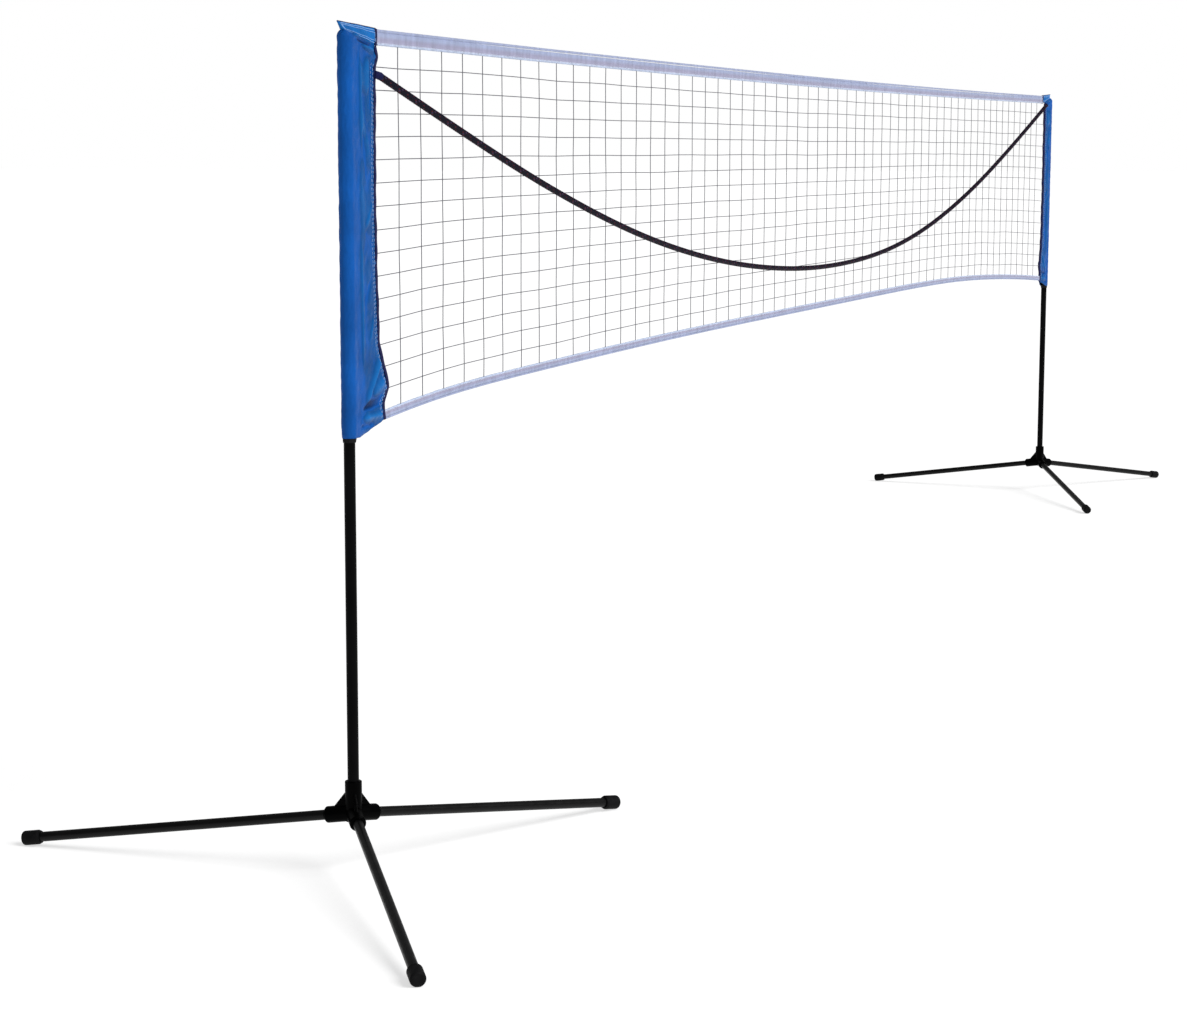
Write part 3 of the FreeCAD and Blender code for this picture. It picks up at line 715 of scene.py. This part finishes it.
def seam_stitches(side, points, normals):
    """Two rows of stitches up each face of the sleeve, beside the binding."""
    bundle = Bundle()
    for face in (1, -1):
        for distance in STITCH_ROWS:
            line, directions = [], []
            for row, normal in zip(points[3:-26, ::face], normals[3:-26, ::face]):
                run = run_along(row)
                line.append(sampled(distance, run, row))
                directions.append(sampled(distance, run, normal))
            add_stitches(bundle, np.array(line), np.array(directions), SEAM_STITCH)
    return bundle.piece(side + "_seam_stitches", SEAM_THREAD)


def band_points(across, up):
    """Points of the band from its outer end (0) to its inner end (1), low (0) to high (1)."""
    across, up = (a[..., None] for a in np.broadcast_arrays(across, up))
    low = np.array(BAND_OUTER[0]) * (1 - across) + np.array(BAND_INNER[0]) * across
    low = low - (0, BAND_OVERLAP)
    high = np.array(BAND_OUTER[1]) * (1 - across) + np.array(BAND_INNER[1]) * across
    return low * (1 - up) + high * up


def band_half(x, across, up):
    """Half thickness of the band: flat, pressed along its hems, swollen over the post."""
    edge = (1 - np.abs(2 * up - 1) ** 6) * (1 - np.abs(2 * across - 1) ** 24)
    half = BAND_HALF * (0.25 + 0.75 * edge)
    half += 0.0016 * np.exp(-((x - 0.004) / 0.020) ** 2) * np.clip(1 - up * 1.6, 0, 1)
    half += 0.0009 * np.sin(across * 19 + up * 4) * edge * band_room(across)
    return half


def band_room(across):
    """How free the band is to wave; its inner end is held straight by its binding."""
    return np.clip((1 - across) / 0.15, 0, 1)


def band_centre(across, up):
    wave = 0.0012 * np.sin(across * 7.0 + 0.8) + 0.0006 * np.sin(across * 17.0 + up * 3)
    return wave * band_room(across)


def build_band(side):
    """The flat hemmed band that closes the sleeve's top."""
    columns, rows = 72, 16
    across, up = np.meshgrid(np.linspace(0, 1, columns), np.linspace(0, 1, rows), indexing="ij")
    spots = band_points(across, up)
    x, z = spots[..., 0], spots[..., 1]
    half = band_half(x, across, up)
    middle = band_centre(across, up)
    front = place(side, x, middle - half, z)
    back = place(side, x, middle + half, z)
    loops = np.concatenate([front, back[:, ::-1]], axis=1)
    faces = capped_faces(columns, 2 * rows, SIDES[side] > 0)
    band = new_piece(side + "_sleeve_band", loops, faces, SLEEVE_CLOTH,
                     uv=(np.concatenate([x, x], 1), np.concatenate([z, z[:, ::-1]], 1)))
    point_values(band, "tone", np.full(columns * 2 * rows, BAND_TONE))
    return band


def band_line(side, across, up, face, lift):
    """Points on a face of the band, a little above its cloth."""
    spots = band_points(across, up)
    half = band_half(spots[:, 0], across, up) + lift
    y = band_centre(across, up) + face * half
    return place(side, spots[:, 0], y, spots[:, 1])


def build_band_trim(side):
    """Two light stitched rectangles on each face, and a navy edge along the top."""
    rectangles = Bundle()
    for face in (-1, 1):
        for inset, radius in BAND_RECTANGLES:
            left, right = 0.035 + inset * 0.12, 0.965 - inset * 0.12
            corners = [(left, inset), (right, inset), (right, 1 - inset), (left, 1 - inset),
                       (left, inset)]
            across, up = np.concatenate([np.linspace(a, b, 30, endpoint=False)
                                         for a, b in zip(corners, corners[1:])]).T
            line = band_line(side, np.append(across, left), np.append(up, inset), face, 0.0001)
            rectangles.tube(line, radius, 6)
    trim = rectangles.piece(side + "_band_stitching", PIPING_BLUE)
    edge = Bundle()
    across = np.linspace(0.01, 0.99, 60)
    top = band_points(across, 0.995)
    edge.tube(place(side, top[:, 0], band_centre(across, 1.0), top[:, 1]), PIPING_RADIUS, 8)
    piping = edge.piece(side + "_band_piping", NAVY_WEB)
    return trim, piping


def folded_web(name, side, centre, outward, inner, outer, half):
    """Webbing folded over an edge: a thin U swept along the edge, open towards the post."""
    bend = np.linspace(-math.pi / 2, math.pi / 2, 7)
    flat = np.linspace(-inner, 0, 4, endpoint=False)
    profile = [(e, -half) for e in flat]
    profile += [(outer * math.cos(a), half * math.sin(a)) for a in bend]
    profile += [(e, half) for e in flat[::-1]]
    thin = half - BINDING_WALL
    inside = [(e, -thin) for e in flat]
    inside += [((outer - BINDING_WALL) * math.cos(a), thin * math.sin(a)) for a in bend]
    inside += [(e, thin) for e in flat[::-1]]
    loop = np.array(profile + inside[::-1])
    count = len(centre)
    wave = 0.0005 * np.sin(np.arange(count) * 0.55) + 0.0004 * np.sin(np.arange(count) * 0.21)
    points = np.empty((count, len(loop), 3))
    for i in range(count):
        e = loop[:, 0] * (1 + 60 * wave[i])
        x = centre[i][0] + outward[i][0] * e
        z = centre[i][1] + outward[i][1] * e
        points[i] = place(side, x, loop[:, 1] + wave[i], z)
    faces = capped_faces(count, len(loop), SIDES[side] < 0)
    run = np.linspace(0, 1, count) * 0.7
    return new_piece(name, points, faces, NAVY_WEB, uv=(run[:, None], loop[:, 0] + loop[:, 1]))


def build_binding(side):
    """Navy webbing up the seam, and another over the band's inner end."""
    low, high = SEAMS[side][0][0] - 0.002, SEAMS[side][0][-1] - 0.001
    heights = np.linspace(low, high, 170)
    reach = seam_reach(side, heights)
    centre = np.stack([reach, heights], axis=1)
    along = np.gradient(centre, axis=0)
    along /= np.linalg.norm(along, axis=1)[:, None]
    outward = np.stack([along[:, 1], -along[:, 0]], axis=1)
    seam = folded_web(side + "_seam_binding", side, centre, outward, BINDING_IN, BINDING_OUT,
                      SEAM_HALF + 0.0018)
    stands_for(side + "_edge_binding")
    ups = np.linspace(0.02, 0.98, 14)
    end = band_points(1.0, ups) - (0.002, 0)
    straight = np.repeat([[1.0, 0.0]], len(ups), axis=0)
    inner = folded_web(side + "_band_end_binding", side, end, straight, 0.0075, 0.0028,
                       BAND_HALF + 0.0009)
    return seam, inner


def build_cuff(side):
    """Knitted elastic gathered at the sleeve's lower mouth, close to the post at its foot."""
    sides, rows = 96, 12
    angle = np.linspace(0, 2 * math.pi, sides, endpoint=False)
    share = np.linspace(0, 1, rows)
    rings = []
    for layer in (0, 1):
        for up in (share if layer == 0 else share[::-1]):
            radius = (CUFF_FOOT_RADIUS + up * (CUFF_TOP_RADIUS - CUFF_FOOT_RADIUS)
                      - 0.0008 * layer + (1 - layer) * 0.0003 * np.cos(angle * 32))
            x = radius * np.cos(angle) + np.clip(np.cos(angle), 0, 1) * CUFF_STRETCH * up
            z = CUFF_FOOT + up * (CUFF_TOP - CUFF_FOOT)
            rings.append(place(side, x, radius * np.sin(angle), z))
    points = np.array(rings + rings[:1])
    faces = grid_faces(len(points), sides, SIDES[side] < 0)
    cuff = new_piece(side + "_knit_cuff", points, faces, CUFF_KNIT,
                     uv=(angle * CUFF_TOP_RADIUS, points[..., 2]))
    stands_for(side + "_hem_cuff")


# --- tapes -----------------------------------------------------------------------------
def folded_tape(name, xs, top, bottom, half, crown_up, seed):
    """A tape folded once along its length: crown at one edge, two open hems at the other."""
    bend = np.linspace(math.pi, 0, 9)
    wall_steps = np.linspace(0, 1, 7)[1:]
    crown = half * 1.05
    outer = [(half, s) for s in wall_steps[::-1]]
    outer += [(-half * math.cos(a), -crown * math.sin(a)) for a in bend[::-1]]
    outer += [(-half, s) for s in wall_steps]
    points, downs, arounds = [], [], []
    for i, x in enumerate(xs):
        tall = (top[i] - bottom[i]) - crown
        loop = []
        for layer in (0, 1):
            order = outer if layer == 0 else outer[::-1]
            for y, s in order:
                shrink = 1 - layer * TAPE_WALL / half
                on_wall = s > 0
                down = crown + s * tall if on_wall else crown + s * shrink
                lower = s if on_wall else 0.0
                face = 1 if y > 0 else -1
                pucker = 0.00055 * math.sin(x / 0.0125 * 2 * math.pi + 3 * math.sin(x * 9) + face)
                pucker += 0.0011 * noise.noise(Vector((x / 0.03, s * 1.4 + seed, face * 3.0)))
                width = half * (1.0 - 0.28 * lower + 0.16 * math.exp(-((s - 0.93) / 0.06) ** 2))
                wide = y * shrink if not on_wall else face * (width - layer * TAPE_WALL)
                loop.append((wide + face * pucker * lower * 1.4, down, lower))
        loop = np.array(loop)
        z = top[i] - loop[:, 1] if crown_up else bottom[i] + loop[:, 1]
        points.append(np.stack([np.full(len(loop), x), NET_Y + loop[:, 0], z], axis=1))
        downs.append(loop[:, 2] * 0.64 + loop[:, 1] / (top[i] - bottom[i]) * 0.36)
        arounds.append(loop[:, 1])
    count, sides = len(xs), len(points[0])
    faces = capped_faces(count, sides, not crown_up)
    tape = new_piece(name, points, faces, TAPE_CLOTH, uv=(xs[:, None], np.array(arounds)))
    point_values(tape, "down", downs)
    return tape


def hem_stitches(name, xs, line_z, half):
    bundle = Bundle()
    for face in (-1, 1):
        line = np.stack([xs, np.full(len(xs), NET_Y + face * half), line_z], axis=1)
        normals = np.repeat([[0.0, face, 0.0]], len(xs), axis=0)
        add_stitches(bundle, line, normals, HEM_STITCH)
    return bundle.piece(name, TAPE_THREAD)


def straight_ends(heights):
    """Carries an edge on straight over its first and last stations, where the solid is cut."""
    skip = TAPE_END_STATIONS
    steps = np.arange(1, skip + 1)
    first = heights[skip] + (heights[skip] - heights[skip + 2]) / 2 * steps[::-1]
    last = heights[-skip - 1] + (heights[-skip - 1] - heights[-skip - 3]) / 2 * steps
    return np.concatenate([first, heights[skip:-skip], last])


def tape_profile(node_name, tuck):
    """Stations along a tape with its lowest and highest points, from its CAD solid."""
    low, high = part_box(node_name)
    tree = tree_of(node_name)
    count = int((high.x - low.x) / TAPE_STEP)
    xs = np.linspace(low.x - tuck, high.x + tuck, count)
    spans = np.array([heights_at(tree, x) for x in np.clip(xs, low.x + 0.0005, high.x - 0.0005)])
    edges = [straight_ends(spans[:, k]) for k in (0, 1)]
    return xs, smooth_line(edges[0], 5), smooth_line(edges[1], 5)


def build_tape(name, tuck, half, crown_up, seed, stitch_in, stitch_half):
    """A tape's cloth, its stitches along the open hems, and its stations and edges."""
    xs, low, high = tape_profile(name, tuck)
    cloth = folded_tape(name + "_cloth", xs, high, low, half, crown_up, seed)
    stands_for(name)
    hem = low + stitch_in if crown_up else high - stitch_in
    return cloth, hem_stitches(name + "_stitches", xs, hem, stitch_half), (xs, low, high)


# --- mesh ------------------------------------------------------------------------------
def build_mesh(top_edges, bottom_edges):
    """Knotted threads between the tapes; the rows crowd where the lower tape rises."""
    columns = np.linspace(POST_X["left"] + MESH_FROM_POST, POST_X["right"] - MESH_FROM_POST,
                          MESH_COLUMNS + 1)
    upper = np.interp(columns, top_edges[0], top_edges[1]) + MESH_TUCK
    lower = np.interp(columns, bottom_edges[0], bottom_edges[2]) - MESH_TUCK
    knots = np.empty((MESH_COLUMNS + 1, MESH_ROWS + 1, 3))
    for i, x in enumerate(columns):
        for j in range(MESH_ROWS + 1):
            up = j / MESH_ROWS
            inside = 0 < j < MESH_ROWS
            shift = noise.noise_vector(Vector((i * 0.37, j * 0.41, 2.0))) * KNOT_SHIFT * inside
            z = lower[i] + (upper[i] - lower[i]) * up
            knots[i, j] = (x + shift.x, NET_Y + shift.y * 0.5, z + shift.z)
    bundle = Bundle()
    for i in range(1, MESH_COLUMNS):
        inside = [p for p in knots[i] if inside_binding(p)]
        bundle.tube(subdivided(inside, 3), THREAD_RADIUS, 5)
    for j in range(1, MESH_ROWS):
        line = [p for p in knots[:, j] if inside_binding(p)]
        line.insert(0, binding_end("left", line[0], line[1]))
        line.append(binding_end("right", line[-1], line[-2]))
        bundle.tube(subdivided(line, 3), THREAD_RADIUS, 5, (0, 0, 1))
    bead = np.array([(1, 0, 0), (-1, 0, 0), (0, 1, 0), (0, -1, 0), (0, 0, 1), (0, 0, -1)], float)
    bead_faces = [(0, 2, 4), (2, 1, 4), (1, 3, 4), (3, 0, 4),
                  (2, 0, 5), (1, 2, 5), (3, 1, 5), (0, 3, 5)]
    for i in range(1, MESH_COLUMNS):
        for j in range(1, MESH_ROWS):
            if inside_binding(knots[i, j]):
                bundle.add(knots[i, j] + bead * THREAD_RADIUS * KNOT_SIZE, bead_faces)
    mesh = bundle.piece("net_threads", THREAD_GREY)
    stands_for("net_mesh")
    return mesh


def inside_binding(point):
    for side, sign in SIDES.items():
        if (point[0] - POST_X[side]) * sign < seam_reach(side, point[2]) + 0.003:
            return False
    return True


def binding_end(side, point, before):
    """Where a row's thread, carried on past its last knot, meets the sleeve's binding."""
    x = POST_X[side] + SIDES[side] * (seam_reach(side, point[2]) + 0.002)
    slope = (point[2] - before[2]) / (point[0] - before[0])
    return np.array([x, NET_Y, point[2] + slope * (x - point[0])])


def subdivided(points, parts):
    points = np.asarray(points)
    index = np.linspace(0, len(points) - 1, (len(points) - 1) * parts + 1)
    return sampled(index, np.arange(len(points)), points)


# --- hanging cord ----------------------------------------------------------------------
def route_line():
    """Points along the NURBS spline through the cord's route."""
    curve = bpy.data.curves.new("cord_route", "CURVE")
    curve.dimensions = "3D"
    curve.resolution_u = 24
    spline = curve.splines.new("NURBS")
    spline.points.add(len(CORD_ROUTE) - 1)
    for point, (x, z) in zip(spline.points, CORD_ROUTE):
        point.co = (MID_X + x, NET_Y - CORD_IN_FRONT, z, 1)
    spline.order_u = 3
    spline.use_endpoint_u = True
    bare = bpy.data.objects.new("cord_route", curve)
    mesh = bpy.data.meshes.new_from_object(bare)
    line = np.array([v.co for v in mesh.vertices])
    bpy.data.meshes.remove(mesh)
    bpy.data.objects.remove(bare)
    bpy.data.curves.remove(curve)
    return line


def build_cord():
    """A braided tube: two families of strands that cross in a diamond pattern."""
    line = route_line()
    run = run_along(line)
    along = np.arange(0, run[-1], BRAID_PITCH / BRAID_STRANDS / 4)
    path = sampled(along, run, line)
    sides = BRAID_STRANDS * 4
    turn = np.arange(sides) / sides * BRAID_STRANDS
    strands_passed = (along / BRAID_PITCH * BRAID_STRANDS)[:, None]
    rising = strands_passed + turn[None, :] + 0.125
    falling = strands_passed - turn[None, :] + 0.125
    dome = np.abs(np.sin(math.pi * rising) * np.sin(math.pi * falling)) ** 0.5
    radius = CORD_DIAMETER / 2 - BRAID_DEPTH * 0.6 + BRAID_DEPTH * dome
    taper = np.clip(np.minimum(along, along[-1] - along) / 0.004, 0, 1)[:, None]
    rings = tube_rings(path, radius * (0.85 + 0.15 * taper), sides)
    faces = capped_faces(len(path), sides)
    cord = new_piece("hanging_cord_braid", rings, faces, CORD_BRAID, uv=(along[:, None], turn))
    family = (np.floor(rising) + np.floor(falling)) % 2
    red = np.isin(np.floor(rising) % BRAID_STRANDS, (1, 5))
    # The blue strands are a painted highlight standing in for the braid's bluish glints.
    blue_highlight_strand = np.floor(falling) % BRAID_STRANDS == 3
    strand = np.where((family > 0) & red, 0.6, np.where((family < 1) & blue_highlight_strand, 0.9, 0.1))
    point_values(cord, "strand", strand)
    stands_for("hanging_cord")
    return cord, path


def build_cord_tab(side, path):
    """Short webbing sleeve that holds the cord's end against the seam."""
    line = path if side == "left" else path[::-1]
    start, along = line[0], line[0] - line[1]
    along = along / np.linalg.norm(along)
    share = np.linspace(0, 1, TAB_ROWS)
    centre = start + along * (share * TAB_LENGTH - 0.0010)[:, None]
    squash = 1 - 0.55 * share[:, None] ** 1.5
    sides = 32
    angle = np.linspace(0, 2 * math.pi, sides, endpoint=False)
    ripple = 1 + 0.03 * np.cos(angle * 9)[None, :]
    radius = TAB_RADIUS * ripple
    across = np.cross(along, (0, 1, 0))
    rings = (centre[:, None] + across * (radius * np.cos(angle))[..., None]
             + np.array([0.0, 1.0, 0.0]) * (radius * squash * np.sin(angle))[..., None])
    rings[..., 1] += (share * TAB_LEAN)[:, None]
    faces = capped_faces(TAB_ROWS, sides)
    tab = new_piece(side + "_cord_wrap", rings, faces, NAVY_WEB,
                    uv=(share[:, None] * 0.05, angle * 0.008))
    stands_for(side + "_cord_tab")
    return tab


# --- studio ----------------------------------------------------------------------------
def sun_light(name, direction, strength):
    light = bpy.data.lights.new(name, "SUN")
    light.energy = strength
    light.angle = math.radians(SUN_SPREAD)
    lamp = bpy.data.objects.new(name, light)
    lamp.rotation_euler = (-Vector(direction)).to_track_quat("-Z", "Y").to_euler()
    bpy.context.scene.collection.objects.link(lamp)


def white_world():
    """White surroundings; they look white and light the object more gently."""
    world = bpy.data.worlds.new("studio")
    world.use_nodes = True
    tree = world.node_tree
    rays = node(tree, "LightPath")
    strength = node(tree, "MapRange")
    strength.inputs["To Min"].default_value = SKY_LIGHT
    strength.inputs["To Max"].default_value = 1.0
    tree.links.new(rays.outputs["Is Camera Ray"], strength.inputs["Value"])
    tree.links.new(strength.outputs["Result"], tree.nodes["Background"].inputs["Strength"])
    tree.nodes["Background"].inputs["Color"].default_value = (1, 1, 1, 1)
    return world


def build_studio():
    scene = bpy.context.scene
    scene.view_settings.view_transform = "Standard"
    scene.world = white_world()
    material, tree, shader = shade("pale_floor", (0.5, 0.5, 0.5), 0.9, 0.1)
    grain = ramp(tree, noise_value(tree, 3.0, 2.0), [(0.3, 0.495), (0.7, 0.505)])
    feed(shader, "Base Color", grain)
    shader.inputs["Emission Color"].default_value = (1, 1, 1, 1)
    shader.inputs["Emission Strength"].default_value = FLOOR_GLOW
    mesh = bpy.data.meshes.new("floor")
    half = FLOOR_SIZE / 2
    mesh.from_pydata([(-half, -half, 0), (half, -half, 0), (half, half, 0), (-half, half, 0)],
                     [], [(0, 1, 2, 3)])
    floor = bpy.data.objects.new("floor", mesh)
    floor.location = (0, 0, -0.001)
    mesh.materials.append(material)
    scene.collection.objects.link(floor)
    sun_light("key", SUN_FROM, SUN_STRENGTH)


def place_camera():
    scene = bpy.context.scene
    camera = bpy.data.cameras.new("photo_camera")
    camera.lens = CAMERA_LENS
    camera.clip_end = 200
    eye = bpy.data.objects.new("photo_camera", camera)
    eye.location = Vector((POST_X["left"], NET_Y, 0)) + CAMERA_FROM_LEFT_POST
    turn = (Matrix.Rotation(math.radians(CAMERA_HEADING), 3, "Z")
            @ Matrix.Rotation(math.radians(CAMERA_TILT), 3, "X")
            @ Matrix.Rotation(math.radians(CAMERA_ROLL), 3, "Z"))
    eye.rotation_euler = turn.to_euler()
    scene.collection.objects.link(eye)
    scene.camera = eye


# --- assembly --------------------------------------------------------------------------
def build_sleeves():
    for side in SIDES:
        cloth, points, normals = build_sleeve(side)
        band = build_band(side)
        stitches = seam_stitches(side, points, normals)
        trim, piping = build_band_trim(side)
        seam, inner = build_binding(side)
        build_cuff(side)


dress_cad_nodes()
build_studio()
place_camera()
build_sleeves()
top_tape, top_stitches, top_edges = build_tape(
    "top_tape", tuck=0.0020, half=0.0031, crown_up=True, seed=0.0,
    stitch_in=0.0042, stitch_half=0.0027)
bottom_tape, bottom_stitches, bottom_edges = build_tape(
    "bottom_tape", tuck=0.0022, half=0.0023, crown_up=False, seed=5.0,
    stitch_in=0.0034, stitch_half=0.0021)
threads = build_mesh(top_edges, bottom_edges)
cord, cord_path = build_cord()
tabs = [build_cord_tab(side, cord_path) for side in SIDES]
